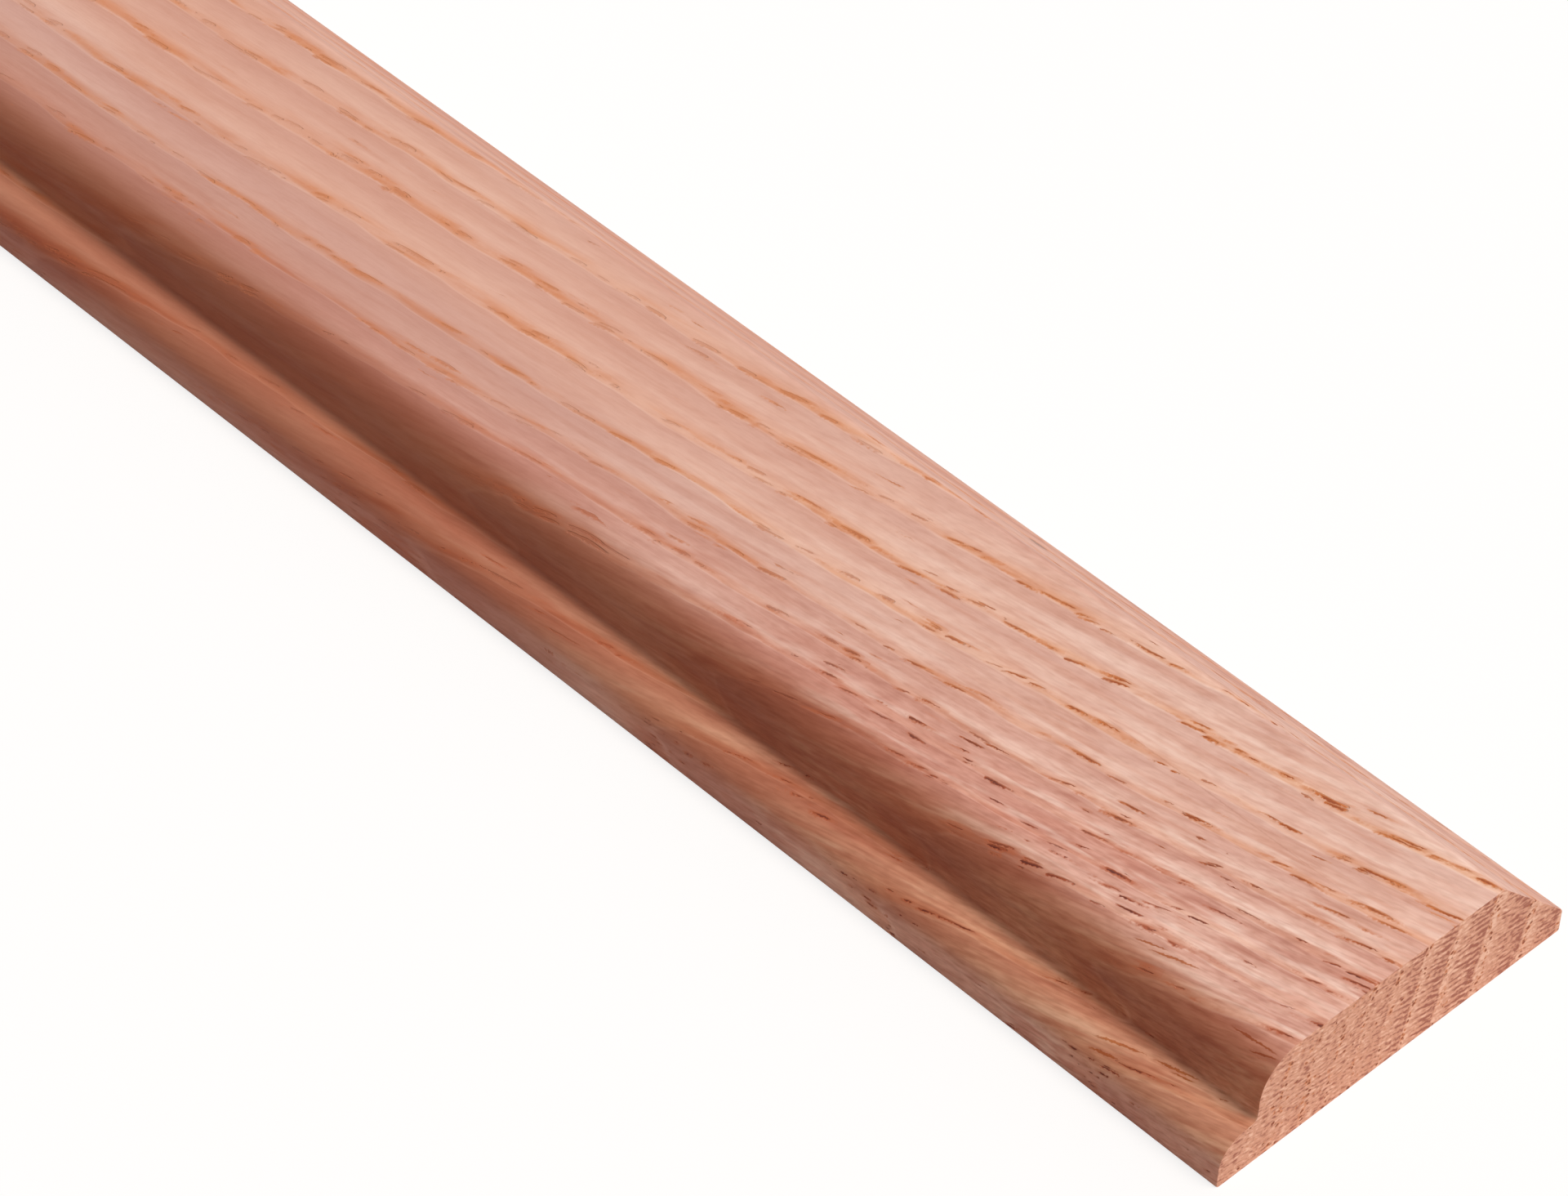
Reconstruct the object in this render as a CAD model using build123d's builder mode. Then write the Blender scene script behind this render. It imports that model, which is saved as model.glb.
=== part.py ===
"""Finger-jointed oak batten: a moulded strip glued up from shorter blocks of oak.

The batten lies on its flat back. X runs along it, with the sawn end of block 1 at +X,
Y runs across it, from the rounded lip to the bevelled edge, and Z points up out of its
face. The origin is the middle of the back.
"""
import os

from build123d import *

# The whole batten
WIDTH = 60.0
THICKNESS = 16.0
BLOCK_LENGTHS = [420.0, 365.0, 445.0, 320.0, 450.0]  # from the +X end to the -X end

# Section: a rounded lip, an upright wall with an ovolo over it, a flat face and a bevel
LIP_WIDTH = 6.0
LIP_HEIGHT_OUTSIDE = 6.5
LIP_HEIGHT_AT_WALL = 7.2
NOSE_RADIUS = 4.0
QUIRK_RADIUS = 0.8
OVOLO_RADIUS = 6.0
BEVEL = 12.5
FACE_TO_BEVEL_RADIUS = 2.0
BEVEL_EDGE_RADIUS = 0.8
BACK_ARRIS_RADIUS = 0.4

# Finger joints: tapered fingers that show as a zigzag on the face
FINGER_LENGTH = 10.0
FINGER_PITCH = 4.0
FINGER_TIP = 0.6
CUTTER_OVERRUN = 2.0

length = sum(BLOCK_LENGTHS)
lip_side = -WIDTH / 2
bevel_side = WIDTH / 2
finger_count = round(WIDTH / FINGER_PITCH)


def joint_line(joint_x):
    """Return one finger joint's zigzag in plan, from the lip side to the bevelled side."""
    valley_x = joint_x - FINGER_LENGTH / 2
    tip_x = joint_x + FINGER_LENGTH / 2
    points = [(valley_x, lip_side - CUTTER_OVERRUN)]
    for finger in range(finger_count):
        start = lip_side + finger * FINGER_PITCH
        middle = start + FINGER_PITCH / 2
        points.append((valley_x, start + FINGER_TIP / 2))
        points.append((tip_x, middle - FINGER_TIP / 2))
        points.append((tip_x, middle + FINGER_TIP / 2))
        points.append((valley_x, start + FINGER_PITCH - FINGER_TIP / 2))
    points.append((valley_x, bevel_side + CUTTER_OVERRUN))
    return points


def sawn_end(end_x):
    """Return a square saw cut in plan, from the lip side to the bevelled side."""
    return [(end_x, lip_side - CUTTER_OVERRUN), (end_x, bevel_side + CUTTER_OVERRUN)]


# Each corner of the section as (across, up) and the radius that the cutter leaves there
corners = {
    (lip_side, 0): BACK_ARRIS_RADIUS,
    (lip_side, LIP_HEIGHT_OUTSIDE): NOSE_RADIUS,
    (lip_side + LIP_WIDTH, LIP_HEIGHT_AT_WALL): QUIRK_RADIUS,
    (lip_side + LIP_WIDTH, THICKNESS): OVOLO_RADIUS,
    (bevel_side - BEVEL, THICKNESS): FACE_TO_BEVEL_RADIUS,
    (bevel_side, THICKNESS - BEVEL): BEVEL_EDGE_RADIUS,
    (bevel_side, 0): BACK_ARRIS_RADIUS,
}
with BuildSketch(Plane.YZ.offset(-length / 2)) as section:
    with BuildLine():
        FilletPolyline(*corners.keys(), radius=list(corners.values()), close=True)
    make_face()

# The blocks are glued end to end and then moulded as one strip, so each block is the
# whole moulding kept between its two ends
cuts = [length / 2]
for block_length in BLOCK_LENGTHS:
    cuts.append(cuts[-1] - block_length)

os.makedirs("parts", exist_ok=True)
for number in range(1, len(cuts)):
    near_x, far_x = cuts[number - 1], cuts[number]
    near_end = sawn_end(near_x) if number == 1 else joint_line(near_x)
    far_end = sawn_end(far_x) if number == len(BLOCK_LENGTHS) else joint_line(far_x)
    with BuildPart() as block:
        extrude(section.sketch, amount=length)
        with BuildSketch():
            with BuildLine():
                Polyline(*near_end, *reversed(far_end), close=True)
            make_face()
        extrude(amount=THICKNESS, mode=Mode.INTERSECT)
    block.part.label = f"oak_block_{number}"
    export_step(block.part, f"parts/oak_block_{number}.step")
    print(block.part.label, f"{near_x - far_x:.0f} mm, {block.part.volume / 1000:.1f} cm3")
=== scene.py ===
"""Finger-jointed oak batten lying on a pale studio floor, seen from its sawn end."""
import math

import bpy
from mathutils import Matrix, Vector, noise


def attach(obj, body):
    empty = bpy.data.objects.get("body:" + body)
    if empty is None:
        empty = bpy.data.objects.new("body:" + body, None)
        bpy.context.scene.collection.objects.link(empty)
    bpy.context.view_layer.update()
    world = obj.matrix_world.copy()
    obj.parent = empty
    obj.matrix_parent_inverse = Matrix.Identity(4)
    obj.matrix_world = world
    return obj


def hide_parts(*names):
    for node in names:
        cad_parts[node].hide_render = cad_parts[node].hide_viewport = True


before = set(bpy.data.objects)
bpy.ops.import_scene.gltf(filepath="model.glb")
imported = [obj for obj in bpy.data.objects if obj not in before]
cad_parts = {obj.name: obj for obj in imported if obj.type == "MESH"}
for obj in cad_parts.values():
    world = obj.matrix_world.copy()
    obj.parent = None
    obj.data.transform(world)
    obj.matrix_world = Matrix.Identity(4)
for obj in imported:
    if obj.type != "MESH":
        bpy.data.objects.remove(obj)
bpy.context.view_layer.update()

MM = 0.001

# The batten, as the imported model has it, in millimetres
WIDTH = 60.0
THICKNESS = 16.0
BLOCK_LENGTHS = [420.0, 365.0, 445.0, 320.0, 450.0]
LIP_WIDTH = 6.0
LIP_HEIGHT_OUTSIDE = 6.5
LIP_HEIGHT_AT_WALL = 7.2
NOSE_RADIUS = 4.0
QUIRK_RADIUS = 0.8
OVOLO_RADIUS = 6.0
BEVEL = 12.5
FACE_TO_BEVEL_RADIUS = 2.0
BEVEL_EDGE_RADIUS = 0.8
BACK_ARRIS_RADIUS = 0.4
FINGER_LENGTH = 10.0
FINGER_PITCH = 4.0
FINGER_TIP = 0.6

# How finely the blocks are meshed, in degrees and millimetres
ARC_STEP = 6.0
SHARP_ANGLE = 30.0
FACE_STEP = 2.0
COLUMN_STEP = 6
GLUE_DEPTH = 0.5
ARRIS_DEPTH = 0.18
UPRIGHT = 1e-6
TOUCHING = 1e-4

# How near to each other two points on one edge of the outline may come, and how near to the
# edge's end the last may come, as shares of the edge
NEAREST_STOPS = 0.002
LAST_STOP = 0.9999

# How far the sharp arris round a sawn end is worn back, in millimetres
ARRIS_WEAR = 0.05
ARRIS_WEAR_VARIES = 0.09
ARRIS_WEAR_SCALE = 0.9
ARRIS_WEAR_SEED = 7.0

# The camera, in millimetres and degrees: it looks at a point on the floor under the batten
CAMERA_TARGET = (896.8, 0.8, 0.0)
CAMERA_DISTANCE = 753.8
CAMERA_AZIMUTH = 44.35
CAMERA_ELEVATION = 43.88
CAMERA_ROLL = 2.5
CAMERA_LENS = 137.8
SENSOR_WIDTH = 36.0
CLIP_START = 0.01

# The light: a soft warm key nearly overhead, and a cooler sky on the bevelled side, which
# rises from nothing to its full strength between two directions across the batten
KEY_DIRECTION = (0.52, 0.17, 1.0)
KEY_STRENGTH = 2.82
KEY_COLOUR = (1.0, 0.85, 0.73)
KEY_SPREAD = 36.0
SKY_COLOUR = (0.52, 0.66, 0.79, 1.0)
SKY_RISE = (-0.2, 0.8)
WHITE = (1.0, 1.0, 1.0, 1.0)

# The floor: what it throws back at the batten, how the camera sees it, and its faint mottling
FLOOR_SIZE = 12.0
FLOOR_BOUNCE = (0.86, 0.70, 0.62, 1.0)
FLOOR_SEEN = (0.20, 0.20, 0.20, 1.0)
FLOOR_LIFT = 0.82
FLOOR_MOTTLING = 0.04

lip_side = -WIDTH / 2
bevel_side = WIDTH / 2
wall = lip_side + LIP_WIDTH
length = sum(BLOCK_LENGTHS)
cuts = [length / 2 - sum(BLOCK_LENGTHS[:n]) for n in range(len(BLOCK_LENGTHS) + 1)]


def rounded_outline(corners):
    """Points round a closed outline of (y, z, radius) corners, with each corner rounded."""
    points = []
    for n, (y, z, radius) in enumerate(corners):
        corner = Vector((y, z))
        before = (Vector(corners[n - 1][:2]) - corner).normalized()
        after = (Vector(corners[(n + 1) % len(corners)][:2]) - corner).normalized()
        half = before.angle(after) / 2
        centre = corner + (before + after).normalized() * radius / math.sin(half)
        start = corner + before * radius / math.tan(half) - centre
        turn = math.pi - 2 * half
        if before.x * after.y - before.y * after.x > 0:
            turn = -turn
        steps = max(2, math.ceil(abs(math.degrees(turn)) / ARC_STEP))
        for step in range(steps + 1):
            points.append(centre + Matrix.Rotation(turn * step / steps, 2) @ start)
    return points


def section_outline():
    """The moulding's section as (y, z) points, starting at the back of the lip side."""
    return rounded_outline([
        (lip_side, 0.0, BACK_ARRIS_RADIUS),
        (lip_side, LIP_HEIGHT_OUTSIDE, NOSE_RADIUS),
        (wall, LIP_HEIGHT_AT_WALL, QUIRK_RADIUS),
        (wall, THICKNESS, OVOLO_RADIUS),
        (bevel_side - BEVEL, THICKNESS, FACE_TO_BEVEL_RADIUS),
        (bevel_side, THICKNESS - BEVEL, BEVEL_EDGE_RADIUS),
        (bevel_side, 0.0, BACK_ARRIS_RADIUS),
    ])


def finger_breaks():
    """The places across the width where a finger joint's zigzag turns."""
    breaks = []
    for finger in range(round(WIDTH / FINGER_PITCH)):
        start = lip_side + finger * FINGER_PITCH
        middle = start + FINGER_PITCH / 2
        breaks += [start + FINGER_TIP / 2, middle - FINGER_TIP / 2,
                   middle + FINGER_TIP / 2, start + FINGER_PITCH - FINGER_TIP / 2]
    return breaks


def finger_reach(y):
    """How far a finger joint stands from its middle line at y, towards +X."""
    from_middle = abs((y - lip_side) % FINGER_PITCH - FINGER_PITCH / 2)
    flank = FINGER_PITCH / 2 - FINGER_TIP
    down_flank = min(max((from_middle - FINGER_TIP / 2) / flank, 0.0), 1.0)
    return FINGER_LENGTH * (0.5 - down_flank)


def with_breaks(outline, breaks):
    """The outline with a point wherever it crosses a break, and none too far apart."""
    points = []
    for n, start in enumerate(outline):
        end = outline[(n + 1) % len(outline)]
        stops = [0.0]
        if abs(end.x - start.x) > UPRIGHT:
            stops += [(y - start.x) / (end.x - start.x) for y in breaks]
        pieces = math.ceil((end - start).length / FACE_STEP)
        stops += [piece / pieces for piece in range(1, pieces)]
        last = -1.0
        for stop in sorted(s for s in stops if 0.0 <= s < LAST_STOP):
            if stop - last > NEAREST_STOPS:
                points.append(start.lerp(end, stop))
                last = stop
    return points


def block_columns(near, far, near_sawn, far_sawn):
    """The rings of points along a block, each as the place of its middle along X, whether
    it follows the fingers, and how much glue shows on it."""
    first = math.floor(near - FINGER_LENGTH) - 1
    last = math.ceil(far + FINGER_LENGTH) - 1
    near_inset = ARRIS_DEPTH if near_sawn else GLUE_DEPTH
    far_inset = ARRIS_DEPTH if far_sawn else GLUE_DEPTH
    columns = [(near, not near_sawn, 0.0 if near_sawn else 1.0),
               (near - near_inset, not near_sawn, 0.0)]
    columns += [(x, False, 0.0) for x in range(first, last, -COLUMN_STEP)]
    columns += [(far + far_inset, not far_sawn, 0.0),
                (far, not far_sawn, 0.0 if far_sawn else 1.0)]
    return columns


def oak_block(number):
    """Builds one block of the batten as a closed mesh, with its fingers or sawn ends."""
    near_sawn, far_sawn = number == 1, number == len(BLOCK_LENGTHS)
    breaks = finger_breaks()
    outline = with_breaks(section_outline(), breaks)
    count = len(outline)
    columns = block_columns(cuts[number - 1], cuts[number], near_sawn, far_sawn)
    verts = []
    glue = []
    for place, fingered, glued in columns:
        for y, z in outline:
            reach = finger_reach(y) if fingered else 0.0
            verts.append(Vector((place + reach, y, z)) * MM)
            glue.append(glued)
    faces = []
    for start in range(0, count * (len(columns) - 1), count):
        for n in range(count):
            m = (n + 1) % count
            faces.append((start + n, start + m, start + count + m, start + count + n))
    last_start = count * (len(columns) - 1)
    faces += end_faces(outline, breaks, 0, near_sawn)
    faces += end_faces(outline, breaks, last_start, far_sawn)
    mesh = bpy.data.meshes.new(f"oak_block_{number}_planed")
    mesh.from_pydata(verts, [], faces)
    mesh.attributes.new("glue", "FLOAT", "POINT").data.foreach_set("value", glue)
    if near_sawn:
        wear_arris(mesh, outline, 0)
    if far_sawn:
        wear_arris(mesh, outline, last_start)
    mesh.polygons.foreach_set("use_smooth", [True] * len(mesh.polygons))
    mesh.update()
    flip_if_inside_out(mesh)
    mesh.set_sharp_from_angle(angle=math.radians(SHARP_ANGLE))
    block = bpy.data.objects.new(f"planed_block_{number}", mesh)
    bpy.context.scene.collection.objects.link(block)
    return block


def end_faces(outline, breaks, first, sawn):
    """The faces that close one end: one if it is sawn, or one for each side of each finger."""
    count = len(outline)
    if sawn:
        return [tuple(range(first, first + count))]
    right = max(range(count), key=lambda n: (outline[n].x, outline[n].y))
    left = min(range(count), key=lambda n: (outline[n].x, -outline[n].y))
    upper = [(left + n) % count for n in range((right - left) % count + 1)]
    lower = [(left - n) % count for n in range((left - right) % count + 1)]
    if mean_height(outline, upper) < mean_height(outline, lower):
        upper, lower = lower, upper
    edges = [lip_side] + breaks + [bevel_side]
    faces = []
    for low, high in zip(edges, edges[1:]):
        top = [n for n in upper if low - TOUCHING <= outline[n].x <= high + TOUCHING]
        bottom = [n for n in lower if low - TOUCHING <= outline[n].x <= high + TOUCHING]
        loop = bottom + [n for n in reversed(top) if n not in bottom]
        faces.append(tuple(first + n for n in loop))
    return faces


def mean_height(outline, numbers):
    return sum(outline[n].y for n in numbers) / len(numbers)


def wear_arris(mesh, outline, first):
    """Breaks the sharp arris round a sawn end a little, more in some places than others."""
    centre = Vector((0.0, THICKNESS / 3))
    for n, point in enumerate(outline):
        place = Vector((point.x * ARRIS_WEAR_SCALE, point.y * ARRIS_WEAR_SCALE, ARRIS_WEAR_SEED))
        wear = ARRIS_WEAR + ARRIS_WEAR_VARIES * abs(noise.noise(place))
        inward = (centre - point).normalized() * wear
        mesh.vertices[first + n].co += Vector((0.0, inward.x, inward.y)) * MM


def flip_if_inside_out(mesh):
    """Turns every face over if the mesh's volume comes out negative."""
    volume = 0.0
    for face in mesh.polygons:
        corners = [mesh.vertices[n].co for n in face.vertices]
        for second, third in zip(corners[1:], corners[2:]):
            volume += corners[0].dot(second.cross(third))
    if volume < 0:
        mesh.flip_normals()


def linear(red, green, blue):
    """An sRGB colour given in 0 to 255, as the linear colour that a shader takes."""
    def channel(value):
        value /= 255
        return value / 12.92 if value <= 0.04045 else ((value + 0.055) / 1.055) ** 2.4
    return (channel(red), channel(green), channel(blue), 1.0)


class Nodes:
    """Adds nodes to a material's or world's tree. Each short method returns an output."""

    def __init__(self, owner):
        owner.use_nodes = True
        self.owner = owner
        self.tree = owner.node_tree
        self.tree.nodes.clear()

    def node(self, kind, inputs=None, **settings):
        """Adds a node, and links or sets its inputs, given by name or number."""
        node = self.tree.nodes.new(kind)
        for key, value in settings.items():
            setattr(node, key, value)
        for key, value in (inputs or {}).items():
            if isinstance(value, bpy.types.NodeSocket):
                self.tree.links.new(value, node.inputs[key])
            else:
                node.inputs[key].default_value = value
        return node

    def math(self, operation, *values):
        return self.node("ShaderNodeMath", dict(enumerate(values)), operation=operation).outputs[0]

    def times(self, first, *others):
        for other in others:
            first = self.math("MULTIPLY", first, other)
        return first

    def plus(self, first, *others):
        for other in others:
            first = self.math("ADD", first, other)
        return first

    def minus(self, first, second):
        return self.math("SUBTRACT", first, second)

    def scaled(self, value, factor, offset=0.0):
        return self.math("MULTIPLY_ADD", value, factor, offset)

    def vector(self, x=0.0, y=0.0, z=0.0):
        return self.node("ShaderNodeCombineXYZ", {0: x, 1: y, 2: z}).outputs[0]

    def split(self, vector):
        return self.node("ShaderNodeSeparateXYZ", {0: vector}).outputs

    def step(self, value, low, high, out_low=0.0, out_high=1.0):
        """A smooth step from out_low to out_high as value goes from low to high."""
        inputs = {"Value": value, "From Min": low, "From Max": high,
                  "To Min": out_low, "To Max": out_high}
        return self.node("ShaderNodeMapRange", inputs, interpolation_type="SMOOTHSTEP").outputs[0]

    def hump(self, value, start, full, fading, end):
        """A smooth rise from 0 to 1 between start and full, and back between fading and end."""
        return self.times(self.step(value, start, full), self.step(value, end, fading))

    def noise(self, vector, detail):
        inputs = {"Vector": vector, "Scale": 1.0, "Detail": detail, "Roughness": 0.5}
        return self.node("ShaderNodeTexNoise", inputs).outputs["Fac"]

    def mix(self, factor, first, second):
        node = self.node("ShaderNodeMix", {0: factor, 6: first, 7: second}, data_type="RGBA")
        return node.outputs[2]

    def tint(self, factor, colour, multiplier):
        """colour, multiplied by another colour as far as factor says."""
        inputs = {0: factor, 6: colour, 7: multiplier}
        node = self.node("ShaderNodeMix", inputs, data_type="RGBA", blend_type="MULTIPLY")
        return node.outputs[2]


# The marks near the sawn end of block 1, in millimetres: how far along it and how far across
# its middle, half the length, half the width, how far it runs askew, and its tint
GREY = (0.58, 0.58, 0.60, 1.0)
BLOTCH = (0.87, 0.76, 0.71, 1.0)
NICK = (0.45, 0.30, 0.24, 1.0)
SCRATCH = (0.90, 0.86, 0.84, 1.0)
DASH = (0.64, 0.36, 0.18, 1.0)
MARKS = [
    (82.0, 24.0, 1.8, 0.80, 0.0, GREY),
    (43.0, 23.7, 2.8, 1.60, 0.0, BLOTCH),
    (34.0, 26.8, 2.4, 1.00, 0.0, BLOTCH),
    (10.3, 29.75, 1.6, 0.16, 0.0, NICK),
    (18.5, 29.1, 1.9, 0.20, 0.0, DASH),
    (32.0, 3.2, 24.0, 0.13, 0.0, SCRATCH),
    (22.0, -19.4, 2.4, 0.16, 0.29, DASH),
    (18.5, -19.1, 3.7, 0.19, 0.29, DASH),
    (4.1, -21.0, 3.9, 0.15, 0.06, DASH),
    (2.1, -21.6, 2.1, 0.13, 0.25, DASH),
    (18.7, -26.9, 3.8, 0.22, 0.29, DASH),
    (11.5, -25.1, 3.5, 0.22, 0.23, DASH),
    (19.7, -28.7, 2.5, 0.18, 0.17, DASH),
    (10.3, -25.4, 1.9, 0.15, 0.24, DASH),
]
MARK_RAGGEDNESS = 2.4

# What each block's oak is like: where its tree's pith lay from the middle of the back, how the
# grain runs off across the width and down into the wood, how thick a ring is, how far the
# figure softens along the block, how its colour differs, and its marks
OAKS = [
    dict(pith=(-290.0, 62.0), bend=0.19, drift=0.035, dive=0.10, ring=5.5, fade=0.75,
         tone=(1.0, 1.0, 1.0, 1.0), marks=MARKS),
    dict(pith=(10.0, -140.0), bend=0.0, drift=0.02, dive=-0.03, ring=4.4, fade=0.0,
         tone=(0.97, 1.0, 0.98, 1.0), marks=[]),
    dict(pith=(180.0, -40.0), bend=-0.05, drift=-0.02, dive=0.04, ring=5.0, fade=0.0,
         tone=(1.01, 1.03, 1.04, 1.0), marks=[]),
    dict(pith=(-60.0, 110.0), bend=0.04, drift=-0.01, dive=-0.05, ring=3.8, fade=0.0,
         tone=(0.94, 0.93, 0.92, 1.0), marks=[]),
    dict(pith=(240.0, 70.0), bend=0.03, drift=0.02, dive=0.05, ring=4.8, fade=0.0,
         tone=(1.0, 1.01, 0.99, 1.0), marks=[]),
]
SEED_STEP = 37.0

# The noises in the oak: how long, wide and deep their features are in millimetres, where along
# the noise each one starts, so that no two are alike, and its detail. For the rays, their weave
# and the specks, wide is outward from the pith and deep is square to that
NOISES = {
    "slow bend": (60.0, 22.0, 22.0, 0.0, 1.0),
    "quick bend": (10.0, 4.0, 4.0, 20.0, 1.0),
    "heave": (40.0, 18.0, 18.0, 40.0, 1.0),
    "ragged": (0.45, 0.5, 0.5, 60.0, 2.0),
    "dash start": (14.0, 9.0, 9.0, 70.0, 1.0),
    "gaps": (16.0, 2.2, 2.2, 75.0, 1.0),
    "rays": (14.0, 2.0, 0.45, 80.0, 1.0),
    "weave": (20.0, 3.2, 2.4, 85.0, 1.0),
    "speck": (1.8, 0.85, 0.42, 90.0, 1.0),
    "fibre": (4.5, 0.34, 0.34, 100.0, 2.0),
    "silk": (10.0, 0.9, 0.9, 105.0, 1.0),
    "streak": (38.0, 1.6, 3.0, 110.0, 2.0),
    "patch": (60.0, 9.0, 12.0, 120.0, 1.0),
}

# The grain's path, in millimetres: over what length its bend straightens out, and how far the
# noises push it across the width, and the last one up
BEND_LENGTH = 110.0
SLOW_SHIFT = 3.2
QUICK_SHIFT = 1.4
HEAVE_SHIFT = 2.6

# How the rings grow thicker and thinner again with the distance out: over how many millimetres,
# from what part of the swell in radians, and by how much
SWELL_LENGTH = 62.0
SWELL_START = -0.456
SWELL_DEPTH = 0.5

# The vessels, in millimetres: how far apart they are, how long the stretches are that the
# planer opens and how unevenly these start, how far a vessel strays in a stretch and how far
# its edge does, the radius of its bore, and how long its filled and open lengths are
VESSEL_SPACING = 0.78
DASH_LENGTH = 6.4
DASH_UNEVENNESS = 3.4
DASH_STRAY = 0.62
RAGGED_STRAY = 0.46
BORE = 0.17
BORE_VARIES = 0.14
SMALLEST_BORE = 0.001
FILLED_LENGTH = 5.0
FILLED_VARIES = 90.0

# The rays on the sawn end: how far apart they stand in millimetres, and how much they weave
RAY_SPACING = 0.98
RAY_WEAVE = 7.0

# The parts of a ring, as shares of its thickness: where each starts, where it is full, where it
# starts to fade and where it ends. OPENED_STRETCH is the same for one stretch of a vessel
LATE_WOOD = (0.35, 0.90, 0.97, 1.0)
EARLY_WOOD = (0.0, 0.04, 0.12, 0.40)
VESSEL_WOOD = (0.0, 0.03, 0.12, 0.24)
# Where in a ring the painted highlight, a silky gleam, lies:
HIGHLIGHTED_WOOD = (0.10, 0.30, 0.40, 0.70)
LINED_WOOD = (0.0, 0.05, 0.10, 0.26)
WIDELY_LINED_WOOD = (0.0, 0.10, 0.14, 0.42)
COMBED_WOOD = (0.22, 0.42, 0.94, 1.0)
OPENED_STRETCH = (0.0, 0.40, 0.86, 1.0)

# The levels of a noise between which each part of the figure comes up
PATCH_LEVELS = (0.38, 0.60)
STREAK_LEVELS = (0.40, 0.70)
LINE_LEVELS = (0.40, 0.62)
# The levels that bring up the painted highlight:
HIGHLIGHT_LEVELS = (0.44, 0.64)
SILK_LEVELS = (0.54, 0.28)
FIBRE_LEVELS = (0.35, 0.75)
RAY_LEVELS = (0.45, 0.75)
SPECK_LEVELS = (0.35, 0.75)
ROUGH_LEVELS = (0.3, 0.7)
OPENED_LEVELS = (0.24, 0.44)
VESSEL_LEVELS = (0.78, 0.86)

# Where painted shade lies on the lip's side of the section, and where its vessels change, each
# as where the change starts and where it is full, in millimetres: across from the wall over the
# lip, up from the back, and along from the sawn end. COVE and TURN are painted shade on the wall
# and the ovolo, LIP painted warm shade on the lip's top, EDGE and FLANK painted shade beside the
# ovolo and on the lip's side further along, BEYOND painted shade on the face further out that
# deepens away from the sawn end, BESIDE partly the oak's deeper tone and partly painted shade,
# and LOW and CLEAR where the vessels are smaller and fewer. EDGE_ACROSS also has where its
# change starts to fade and where it ends
COVE_ACROSS, COVE_UP = (6.4, 2.0), (7.8, 10.4)
TURN_ACROSS, TURN_UP = (3.6, 1.6), (11.2, 12.9)
LIP_ACROSS, LIP_UP = (2.0, 0.0), (3.0, 5.5)
LOW_ACROSS, CLEAR_UP = (3.0, 0.5), (7.4, 8.4)
BESIDE_ACROSS, BESIDE_ALONG = (22.0, 16.0), (30.0, 150.0)
BEYOND_ACROSS, BEYOND_ALONG = (16.0, 22.0), (0.0, 200.0)
EDGE_ACROSS, EDGE_ALONG = (2.5, 6.5, 8.0, 14.0), (130.0, 200.0)
FLANK_ACROSS, FLANK_UP, FLANK_ALONG = (-3.5, -5.5), (0.6, 2.6), (100.0, 190.0)

# The same on the bevel, across from the bevelled side: painted shade down the bevel, more on its
# lower part
SLOPED_ACROSS = (-BEVEL - 0.6, -BEVEL + 0.6)
UNDER_ACROSS = (-8.5, -4.0)

# How far up from the back the marks reach down, how far along the figure softens and is crisp
# again, and how far out from the section's middle, as seen from the pith, the wood changes to
# the outer wood and the comb of rays on the sawn end comes up, in millimetres
MARKS_UP = (2.0, 2.6)
SOFT_ALONG, CRISP_AGAIN_ALONG = (25.0, 165.0), (340.0, 250.0)
OUTER_OUT = (-10.0, 9.0)
COMB_OUT = (24.0, 12.0)

# The planed oak's colours in sRGB, in the wood nearer to the pith and further from it
PALE = (246, 208, 194), (246, 213, 199)
MAUVE = (230, 178, 162), (240, 202, 187)
DRAB = (213, 158, 141), (228, 180, 160)
VESSEL_RIM = (186, 104, 70), (208, 130, 78)
VESSEL_EDGE = (168, 84, 52), (204, 120, 64)
VESSEL_CORE = (98, 40, 25), (156, 78, 38)
# A painted highlight, a pale silky gleam:
PAINTED_HIGHLIGHT = (250, 222, 210)

# The sawn end's colours, and the glue's
END_LIGHT = (243, 205, 184)
END_MIDDLE = (218, 165, 140)
END_DARK = (164, 98, 78)
END_RIM = (216, 136, 84)
END_VESSEL = (146, 76, 44)
GLUE = (120, 72, 48)
GLUE_STRENGTH = 0.75

# What the parts of the figure multiply the planed oak's colour by
SILK_TINT = (0.93, 0.85, 0.82, 1.0)
LATE_INNER_TINT = (0.88, 0.79, 0.76, 1.0)
LATE_OUTER_TINT = (0.90, 0.85, 0.85, 1.0)
EARLY_TINT = (0.98, 0.87, 0.76, 1.0)
FIBRE_TINT = (0.87, 0.81, 0.79, 1.0)
RAY_TINT = (0.88, 0.81, 0.80, 1.0)
SPECK_TINT = (0.88, 0.83, 0.80, 1.0)
LINE_INNER_TINT = (0.86, 0.72, 0.66, 1.0)
LINE_OUTER_TINT = (0.96, 0.84, 0.70, 1.0)
WIDE_LINE_TINT = (0.96, 0.83, 0.72, 1.0)

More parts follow.
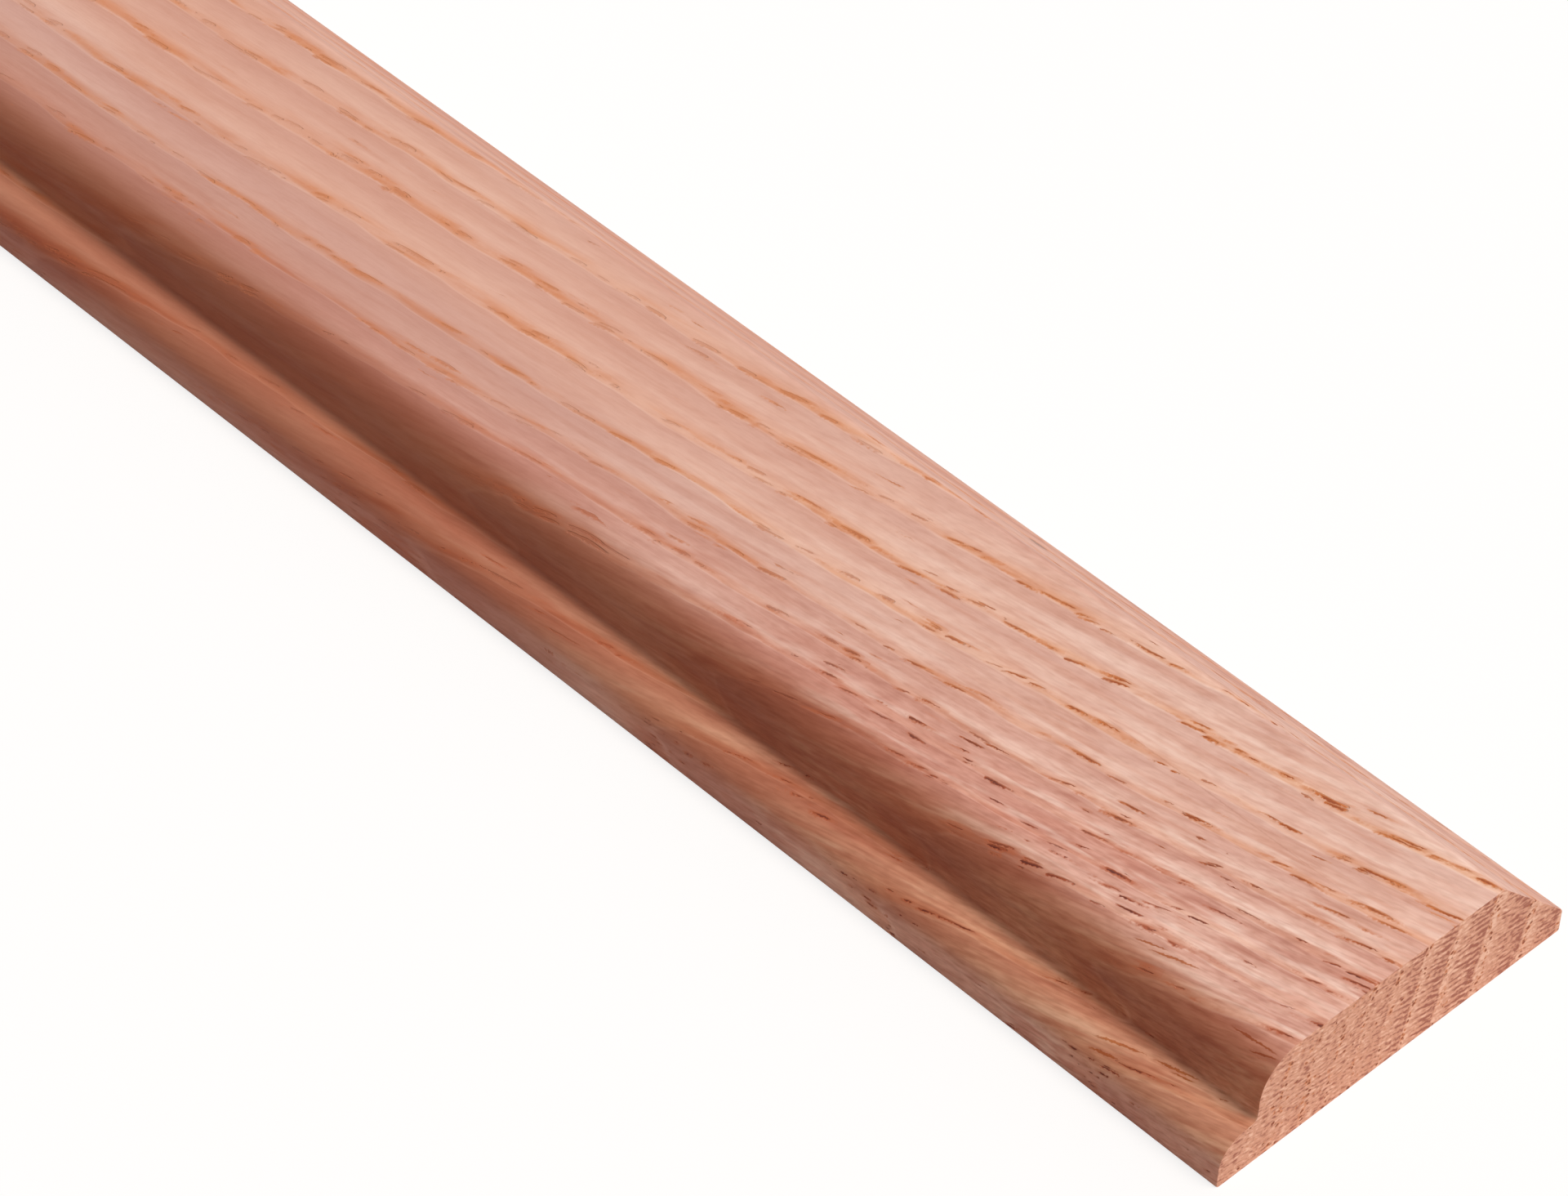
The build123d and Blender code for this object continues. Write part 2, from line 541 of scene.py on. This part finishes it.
# What the places on the section multiply it by: painted shade, which in BESIDE is partly the
# oak's deeper tone
BESIDE_TONE_AND_SHADE = (0.70, 0.56, 0.54, 1.0)
BEYOND_PAINTED_SHADE = (0.81, 0.66, 0.59, 1.0)
BEVEL_PAINTED_SHADE = (0.84, 0.76, 0.72, 1.0)
LOW_BEVEL_PAINTED_SHADE = (0.95, 0.87, 0.82, 1.0)
LIP_PAINTED_WARM_SHADE = (0.86, 0.72, 0.58, 1.0)
COVE_PAINTED_SHADE = (0.74, 0.58, 0.49, 1.0)
OVOLO_PAINTED_SHADE = (0.85, 0.77, 0.70, 1.0)
EDGE_PAINTED_SHADE = (0.80, 0.66, 0.60, 1.0)
FLANK_PAINTED_SHADE = (0.76, 0.56, 0.48, 1.0)

# How strongly the rays, the specks and the fibres each lower the sawn end's level, from 1 for
# light to -1 for dark, where their noise is high
END_RAYS = -1.9
END_SPECKS = -2.1
END_FIBRES = -0.6

# The planed surface
BUMP_STRENGTH = 0.7
BUMP_DISTANCE = 0.00015
FIBRE_HEIGHT = -0.22
SMOOTHEST, ROUGHEST = 0.52, 0.66
SPECULAR = 0.35


class Oak(Nodes):
    """Red oak as a solid texture: rings, vessels, rays and fibres that run through a block."""

    def __init__(self, number, pith, bend, drift, dive, ring, fade, tone, marks):
        super().__init__(bpy.data.materials.new(f"red_oak_{number}_planed"))
        self.pith = pith
        self.ring = ring
        self.seed = SEED_STEP * number
        x, y, z = self.split(self.node("ShaderNodeTexCoord").outputs["Object"])
        self.along = self.scaled(x, -1.0 / MM, cuts[number - 1])
        self.place_y = self.times(y, 1.0 / MM)
        self.place_z = self.times(z, 1.0 / MM)
        self.find_places(fade)
        self.follow_grain(bend, drift, dive)
        self.find_rings()
        self.find_figure()
        self.find_vessels()
        colour = self.mix(self.endness(), self.planed_face(marks), self.sawn_end())
        colour = self.tint(1.0, colour, tone)
        self.add_surface(self.glued(colour))

    def find_places(self, fade):
        """Where on the section, and how far along the block, the oak's tone and painted shade
        change.
        """
        from_wall = self.minus(self.place_y, wall)
        from_bevel_side = self.minus(self.place_y, bevel_side)
        up = self.place_z
        # Painted shade on the wall and the ovolo, and painted warm shade on the lip's top
        self.cove = self.times(self.step(from_wall, *COVE_ACROSS), self.step(up, *COVE_UP))
        self.turn = self.times(self.step(from_wall, *TURN_ACROSS), self.step(up, *TURN_UP))
        self.lip = self.times(self.step(from_wall, *LIP_ACROSS), self.step(up, *LIP_UP))
        self.low = self.step(from_wall, *LOW_ACROSS)
        on_wall = self.times(self.low, self.step(up, *CLEAR_UP))
        self.clear = self.step(on_wall, 0.0, 1.0, 1.0, 0.15)
        # Partly the oak's tone, partly painted shade beside the ovolo; painted shade further out
        self.beside = self.times(self.step(from_wall, *BESIDE_ACROSS),
                                 self.step(self.along, *BESIDE_ALONG, 0.0, fade))
        self.beyond = self.times(self.step(from_wall, *BEYOND_ACROSS),
                                 self.step(self.along, *BEYOND_ALONG, 0.0, fade))
        # Painted shade beside the ovolo and on the lip's side, further along the block
        self.edge = self.times(self.hump(from_wall, *EDGE_ACROSS),
                               self.step(self.along, *EDGE_ALONG, 0.0, fade))
        self.flank = self.times(self.step(from_wall, *FLANK_ACROSS), self.step(up, *FLANK_UP),
                                self.step(self.along, *FLANK_ALONG, 0.0, fade))
        # Painted shade down the bevel, more on its lower part
        self.sloped = self.step(from_bevel_side, *SLOPED_ACROSS)
        self.under = self.step(from_bevel_side, *UNDER_ACROSS)
        self.off_back = self.step(up, *MARKS_UP)
        self.soft = self.times(self.step(self.along, *SOFT_ALONG, 0.0, fade),
                               self.step(self.along, *CRISP_AGAIN_ALONG))
        self.crisp = self.minus(1.0, self.soft)

    def follow_grain(self, bend, drift, dive):
        """Carries each place back along its fibres to where they cross the near end."""
        bow = self.math("EXPONENT", self.times(self.along, -1.0 / BEND_LENGTH))
        run_off = self.scaled(bow, -bend * BEND_LENGTH, bend * BEND_LENGTH)
        run_off = self.scaled(self.along, drift, run_off)
        self.fibre_y = self.plus(self.place_y, run_off)
        self.fibre_z = self.scaled(self.along, dive, self.place_z)
        self.y = self.shifted(self.fibre_y, self.spread("slow bend"), SLOW_SHIFT)
        self.y = self.shifted(self.y, self.spread("quick bend"), QUICK_SHIFT)
        self.z = self.shifted(self.fibre_z, self.spread("heave"), HEAVE_SHIFT)

    def spread(self, name, across=None, up=None):
        """One of the noises, from 0 to 1, along the fibres or across two other directions."""
        long, wide, deep, start, detail = NOISES[name]
        place = self.vector(self.scaled(self.along, 1.0 / long, self.seed + start),
                            self.times(across or self.fibre_y, 1.0 / wide),
                            self.times(up or self.fibre_z, 1.0 / deep))
        return self.noise(place, detail)

    def shifted(self, value, field, reach):
        return self.plus(value, self.scaled(field, reach, -reach / 2))

    def rings(self, across, up):
        """How much further from the pith than the section's middle this place is, in
        millimetres and in rings."""
        radius = self.math("SQRT", self.plus(
            self.math("POWER", self.minus(across, self.pith[0]), 2.0),
            self.math("POWER", self.minus(up, self.pith[1]), 2.0)))
        out = self.minus(radius, math.hypot(self.pith[0], self.pith[1] - THICKNESS / 2))
        swell = self.math("COSINE", self.scaled(out, 2 * math.pi / SWELL_LENGTH, SWELL_START))
        return out, self.scaled(out, 1.0 / self.ring, self.times(swell, SWELL_DEPTH))

    def find_rings(self):
        """The rings' dense late wood and open early wood, and the wood far from the pith."""
        self.out, count = self.rings(self.y, self.z)
        self.phase = self.math("FRACT", count)
        self.late = self.hump(self.phase, *LATE_WOOD)
        self.early = self.hump(self.phase, *EARLY_WOOD)
        self.outer = self.step(self.out, *OUTER_OUT)

    def find_figure(self):
        """The finer figure: streaks, fibres, and the rays, which run out from the pith."""
        self.streak = self.spread("streak")
        self.fibre = self.spread("fibre")
        self.silk = self.spread("silk")
        self.gaps = self.step(self.spread("gaps"), *LINE_LEVELS)
        lean = math.atan2(THICKNESS / 2 - self.pith[1], -self.pith[0])
        outward = self.scaled(self.y, math.cos(lean), self.times(self.z, math.sin(lean)))
        sideways = self.scaled(self.z, math.cos(lean), self.times(self.y, -math.sin(lean)))
        self.rays = self.spread("rays", outward, sideways)
        self.speck = self.spread("speck", outward, sideways)
        weave = self.times(self.spread("weave", outward, sideways), RAY_WEAVE)
        self.comb = self.math("COSINE", self.scaled(sideways, 2 * math.pi / RAY_SPACING, weave))

    def find_vessels(self):
        """Tubes that run with the grain, wide and close in the early wood of each ring, and
        that the planer opens one stretch at a time."""
        self.ragged = self.spread("ragged")
        stretch = self.math("FRACT", self.scaled(self.spread("dash start"), DASH_UNEVENNESS,
                                                 self.times(self.along, 1.0 / DASH_LENGTH)))
        tube_y = self.shifted(self.y, self.ragged, RAGGED_STRAY)
        tube_y = self.shifted(tube_y, stretch, DASH_STRAY)
        place = self.vector(self.scaled(tube_y, 1.0 / VESSEL_SPACING, self.seed),
                            self.times(self.z, 1.0 / VESSEL_SPACING))
        cells = self.node("ShaderNodeTexVoronoi", {"Vector": place, "Scale": 1.0},
                          voronoi_dimensions="2D").outputs
        luck, self.other_luck, _ = self.split(cells["Color"])
        width = self.times(self.bore(), self.vessel_present(cells["Position"], luck))
        reach = self.times(cells["Distance"], VESSEL_SPACING)
        filled = self.noise(self.vector(self.times(self.along, 1.0 / FILLED_LENGTH),
                                        self.times(luck, FILLED_VARIES), self.seed), 1.0)
        opened = self.times(self.step(filled, *OPENED_LEVELS), self.hump(stretch, *OPENED_STRETCH))
        from_axis = self.in_radii(reach, self.times(width, opened))
        self.pore = self.times(self.step(from_axis, 1.0, 0.75), self.clear)
        self.groove = self.times(self.step(from_axis, 0.98, 0.60), self.clear)
        self.core = self.step(from_axis, 0.70, 0.30)
        self.rim = self.vessel_rim(self.in_radii(reach, width), opened)

    def in_radii(self, reach, radius):
        return self.math("DIVIDE", reach, self.math("MAXIMUM", radius, SMALLEST_BORE))

    def vessel_present(self, cell, luck):
        """1 where this cell has a vessel: most do in early wood, and few elsewhere."""
        cell_y, cell_z, _ = self.split(cell)
        cell_y = self.times(self.minus(cell_y, self.seed), VESSEL_SPACING)
        cell_z = self.times(cell_z, VESSEL_SPACING)
        phase = self.math("FRACT", self.rings(cell_y, cell_z)[1])
        chance = self.hump(phase, *VESSEL_WOOD)
        chance = self.scaled(self.streak, 0.5, chance)
        chance = self.scaled(self.outer, -0.10, chance)
        return self.step(self.scaled(luck, 0.65, chance), *VESSEL_LEVELS)

    def bore(self):
        """The vessels' radius, which is ragged, differs from one to the next and is less on the
        lip."""
        bore = self.scaled(self.math("POWER", self.other_luck, 2.0), BORE_VARIES, BORE)
        return self.times(bore, self.scaled(self.low, -0.35, 1.0),
                          self.scaled(self.ragged, 1.5, 0.25))

    def vessel_rim(self, from_axis, opened):
        """The warm wood close round a vessel."""
        near = self.step(from_axis, self.scaled(self.soft, 0.9, 2.1), 0.8)
        strength = self.scaled(opened, 0.70, self.scaled(self.soft, 0.3, 0.25))
        return self.times(near, strength, self.clear, self.scaled(self.gaps, 0.8, 0.2))

    def by_ring(self, colours):
        """The first colour near the pith, changing to the second further out."""
        return self.mix(self.outer, linear(*colours[0]), linear(*colours[1]))

    def planed_face(self, marks):
        """The colour of the planed faces."""
        face = self.mix(self.step(self.spread("patch"), *PATCH_LEVELS),
                        self.by_ring(PALE), self.by_ring(MAUVE))
        streaked = self.times(self.step(self.streak, *STREAK_LEVELS),
                              self.scaled(self.crisp, 0.5, 0.25))
        face = self.mix(streaked, face, self.by_ring(DRAB))
        face = self.figured(face)
        face = self.toned(face)
        face = self.lined(face)
        # Painted warm shade on the lip's top, and painted shade on the wall and the ovolo over it
        face = self.tint(self.lip, face, LIP_PAINTED_WARM_SHADE)
        face = self.tint(self.cove, face, COVE_PAINTED_SHADE)
        face = self.tint(self.turn, face, OVOLO_PAINTED_SHADE)
        face = self.grooved(face)
        for mark in marks:
            face = self.marked(face, *mark)
        return face

    def figured(self, face):
        """The face with its rings, fibres, rays and specks, and a painted highlight as a silky
        gleam.
        """
        figure = self.times(self.crisp, self.scaled(self.outer, -0.4, 1.0))
        inner = self.minus(1.0, self.outer)
        # A painted highlight, a pale silky gleam in part of each ring
        painted_highlight = self.times(self.hump(self.phase, *HIGHLIGHTED_WOOD),
                           self.step(self.silk, *HIGHLIGHT_LEVELS), figure, 0.6)
        face = self.mix(painted_highlight, face, linear(*PAINTED_HIGHLIGHT))
        face = self.tint(self.times(self.step(self.silk, *SILK_LEVELS), figure), face, SILK_TINT)
        face = self.tint(self.times(self.late, self.outer), face, LATE_OUTER_TINT)
        face = self.tint(self.times(self.late, inner), face, LATE_INNER_TINT)
        face = self.tint(self.times(self.early, 0.50), face, EARLY_TINT)
        face = self.tint(self.times(self.step(self.fibre, *FIBRE_LEVELS), figure), face, FIBRE_TINT)
        face = self.tint(self.times(self.step(self.rays, *RAY_LEVELS), figure), face, RAY_TINT)
        return self.tint(self.times(self.step(self.speck, *SPECK_LEVELS), figure), face, SPECK_TINT)

    def toned(self, face):
        """The face, a little deeper along the block, down the bevel and on the lip's side: painted
        shade, partly the oak's own deeper tone beside the ovolo.
        """
        face = self.tint(self.beside, face, BESIDE_TONE_AND_SHADE)
        face = self.tint(self.beyond, face, BEYOND_PAINTED_SHADE)
        face = self.tint(self.sloped, face, BEVEL_PAINTED_SHADE)
        face = self.tint(self.under, face, LOW_BEVEL_PAINTED_SHADE)
        # Painted shade beside the ovolo and on the lip's side
        face = self.tint(self.edge, face, EDGE_PAINTED_SHADE)
        return self.tint(self.flank, face, FLANK_PAINTED_SHADE)

    def lined(self, face):
        """The face with a warm line along the early wood of each ring, wide where it is soft."""
        line = self.times(self.hump(self.phase, *LINED_WOOD), self.gaps, 0.8)
        face = self.tint(line, face, self.mix(self.outer, LINE_INNER_TINT, LINE_OUTER_TINT))
        wide = self.times(self.hump(self.phase, *WIDELY_LINED_WOOD), self.soft, self.gaps)
        return self.tint(wide, face, WIDE_LINE_TINT)

    def grooved(self, face):
        """The face with its opened vessels, as brown dashes with a warm rim."""
        rim = self.times(self.rim, self.scaled(self.crisp, 0.6, 0.35))
        face = self.mix(rim, face, self.by_ring(VESSEL_RIM))
        vessel = self.mix(self.core, self.by_ring(VESSEL_EDGE), self.by_ring(VESSEL_CORE))
        shown = self.times(self.groove, self.step(self.soft, 0.05, 0.60, 1.0, 0.20),
                           self.step(self.other_luck, 0.0, 0.8, 0.7, 1.0))
        return self.mix(shown, face, vessel)

    def marked(self, face, centre, side, half_length, half_width, askew, tint):
        """The face with one small ragged mark on it, this far along and across."""
        from_centre = self.minus(self.along, centre)
        across = self.scaled(self.minus(self.ragged, 0.5), half_width * MARK_RAGGEDNESS,
                             self.place_y)
        across = self.scaled(from_centre, askew, across)
        lengthways = self.math("POWER", self.times(from_centre, 1.0 / half_length), 2.0)
        sideways = self.scaled(across, 1.0 / half_width, -side / half_width)
        apart = self.plus(lengthways, self.math("POWER", sideways, 2.0))
        return self.tint(self.times(self.off_back, self.step(apart, 1.0, 0.3)), face, tint)

    def sawn_end(self):
        """The colour of the sawn end grain, lighter and darker round a middle tone."""
        level = self.times(self.hump(self.phase, *COMBED_WOOD),
                           self.step(self.out, *COMB_OUT, 0.5, 1.0),
                           self.scaled(self.outer, 0.42, 0.06),
                           self.math("MINIMUM", self.comb, 0.5))
        for field, weight in ((self.rays, END_RAYS), (self.speck, END_SPECKS),
                              (self.fibre, END_FIBRES)):
            level = self.scaled(self.minus(field, 0.5), weight, level)
        banding = self.times(self.minus(self.early, self.late), self.scaled(self.outer, 0.30, 0.12))
        level = self.plus(level, banding)
        end = self.mix(self.step(level, 0.0, 0.8), linear(*END_MIDDLE), linear(*END_LIGHT))
        end = self.mix(self.step(level, 0.0, -0.8), end, linear(*END_DARK))
        end = self.mix(self.times(self.rim, 0.9), end, linear(*END_RIM))
        vessel = self.times(self.pore, self.step(self.other_luck, 0.0, 0.8, 0.3, 1.0))
        return self.mix(vessel, end, linear(*END_VESSEL))

    def endness(self):
        """1 on a sawn end, and 0 on the planed faces."""
        normal_x = self.split(self.node("ShaderNodeNewGeometry").outputs["Normal"])[0]
        return self.step(self.math("ABSOLUTE", normal_x), 0.55, 0.85)

    def glued(self, colour):
        """The colour with the glue that shows as a thin line along a finger joint."""
        glue = self.node("ShaderNodeAttribute", attribute_name="glue").outputs["Fac"]
        return self.mix(self.times(glue, GLUE_STRENGTH), colour, linear(*GLUE))

    def add_surface(self, colour):
        """The oak's surface: open vessels and fine fibres, and no varnish."""
        height = self.scaled(self.pore, -1.0, self.times(self.fibre, FIBRE_HEIGHT))
        bump = self.node("ShaderNodeBump", {
            "Height": height, "Strength": BUMP_STRENGTH, "Distance": BUMP_DISTANCE})
        roughness = self.step(self.fibre, *ROUGH_LEVELS, SMOOTHEST, ROUGHEST)
        surface = self.node("ShaderNodeBsdfPrincipled", {
            "Base Color": colour, "Roughness": roughness, "Specular IOR Level": SPECULAR,
            "Normal": bump.outputs[0]})
        self.node("ShaderNodeOutputMaterial", {"Surface": surface.outputs[0]})


def direction(azimuth, elevation):
    """Unit vector towards a place seen at this azimuth and elevation, 0 being -Y."""
    a, e = math.radians(azimuth), math.radians(elevation)
    return Vector((math.sin(a) * math.cos(e), -math.cos(a) * math.cos(e), math.sin(e)))


def add_camera():
    towards = direction(CAMERA_AZIMUTH, CAMERA_ELEVATION)
    camera = bpy.data.objects.new("camera", bpy.data.cameras.new("camera"))
    camera.location = (Vector(CAMERA_TARGET) + towards * CAMERA_DISTANCE) * MM
    level = towards.to_track_quat("Z", "Y").to_matrix()
    camera.rotation_euler = (level @ Matrix.Rotation(math.radians(CAMERA_ROLL), 3, "Z")).to_euler()
    camera.data.lens = CAMERA_LENS
    camera.data.sensor_fit = "HORIZONTAL"
    camera.data.sensor_width = SENSOR_WIDTH
    camera.data.clip_start = CLIP_START
    bpy.context.scene.collection.objects.link(camera)
    bpy.context.scene.camera = camera


def add_key_light():
    sun = bpy.data.objects.new("key", bpy.data.lights.new("key", "SUN"))
    sun.data.energy = KEY_STRENGTH
    sun.data.color = KEY_COLOUR
    sun.data.angle = math.radians(KEY_SPREAD)
    sun.rotation_euler = Vector(KEY_DIRECTION).to_track_quat("Z", "Y").to_euler()
    bpy.context.scene.collection.objects.link(sun)


def background_seen(s):
    """1 for the rays that show the background itself, 0 for those that light the batten."""
    rays = s.node("ShaderNodeLightPath").outputs
    seen = s.math("MAXIMUM", rays["Is Camera Ray"], rays["Is Glossy Ray"])
    return s.math("MAXIMUM", seen, rays["Is Transmission Ray"])


def add_sky():
    """A sky that is bright on the bevelled side and dark on the lip's side, and that is
    white where it is seen."""
    s = Nodes(bpy.data.worlds.new("sky"))
    across = s.split(s.node("ShaderNodeTexCoord").outputs["Generated"])[1]
    glow = s.node("ShaderNodeBackground", {
        "Color": SKY_COLOUR, "Strength": s.step(across, *SKY_RISE)})
    white = s.node("ShaderNodeBackground", {"Color": WHITE, "Strength": 1.0})
    sky = s.node("ShaderNodeMixShader", {
        0: background_seen(s), 1: glow.outputs[0], 2: white.outputs[0]})
    s.node("ShaderNodeOutputWorld", {"Surface": sky.outputs[0]})
    bpy.context.scene.world = s.owner


def add_floor():
    """A pale floor that is lifted to white where it is seen, and keeps the batten's shadow."""
    half = FLOOR_SIZE / 2
    mesh = bpy.data.meshes.new("floor")
    mesh.from_pydata([(-half, -half, 0), (half, -half, 0), (half, half, 0), (-half, half, 0)],
                     [], [(0, 1, 2, 3)])
    floor = bpy.data.objects.new("floor", mesh)
    bpy.context.scene.collection.objects.link(floor)
    s = Nodes(bpy.data.materials.new("floor"))
    mottling = s.noise(s.node("ShaderNodeTexCoord").outputs["Object"], 3.0)
    seen = background_seen(s)
    colour = s.mix(seen, FLOOR_BOUNCE, FLOOR_SEEN)
    colour = s.tint(s.step(mottling, 0.3, 0.7, 0.0, FLOOR_MOTTLING), colour, (0.0, 0.0, 0.0, 1.0))
    matt = s.node("ShaderNodeBsdfDiffuse", {"Color": colour})
    lift = s.node("ShaderNodeEmission", {"Color": WHITE, "Strength": s.times(seen, FLOOR_LIFT)})
    both = s.node("ShaderNodeAddShader", {0: matt.outputs[0], 1: lift.outputs[0]})
    s.node("ShaderNodeOutputMaterial", {"Surface": both.outputs[0]})
    mesh.materials.append(s.owner)


for number, kind in enumerate(OAKS, start=1):
    block = oak_block(number)
    block.data.materials.append(Oak(number, **kind).owner)
    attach(block, "root")
    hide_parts(f"oak_block_{number}")

add_floor()
add_key_light()
add_sky()
add_camera()
bpy.context.scene.view_settings.view_transform = "Standard"
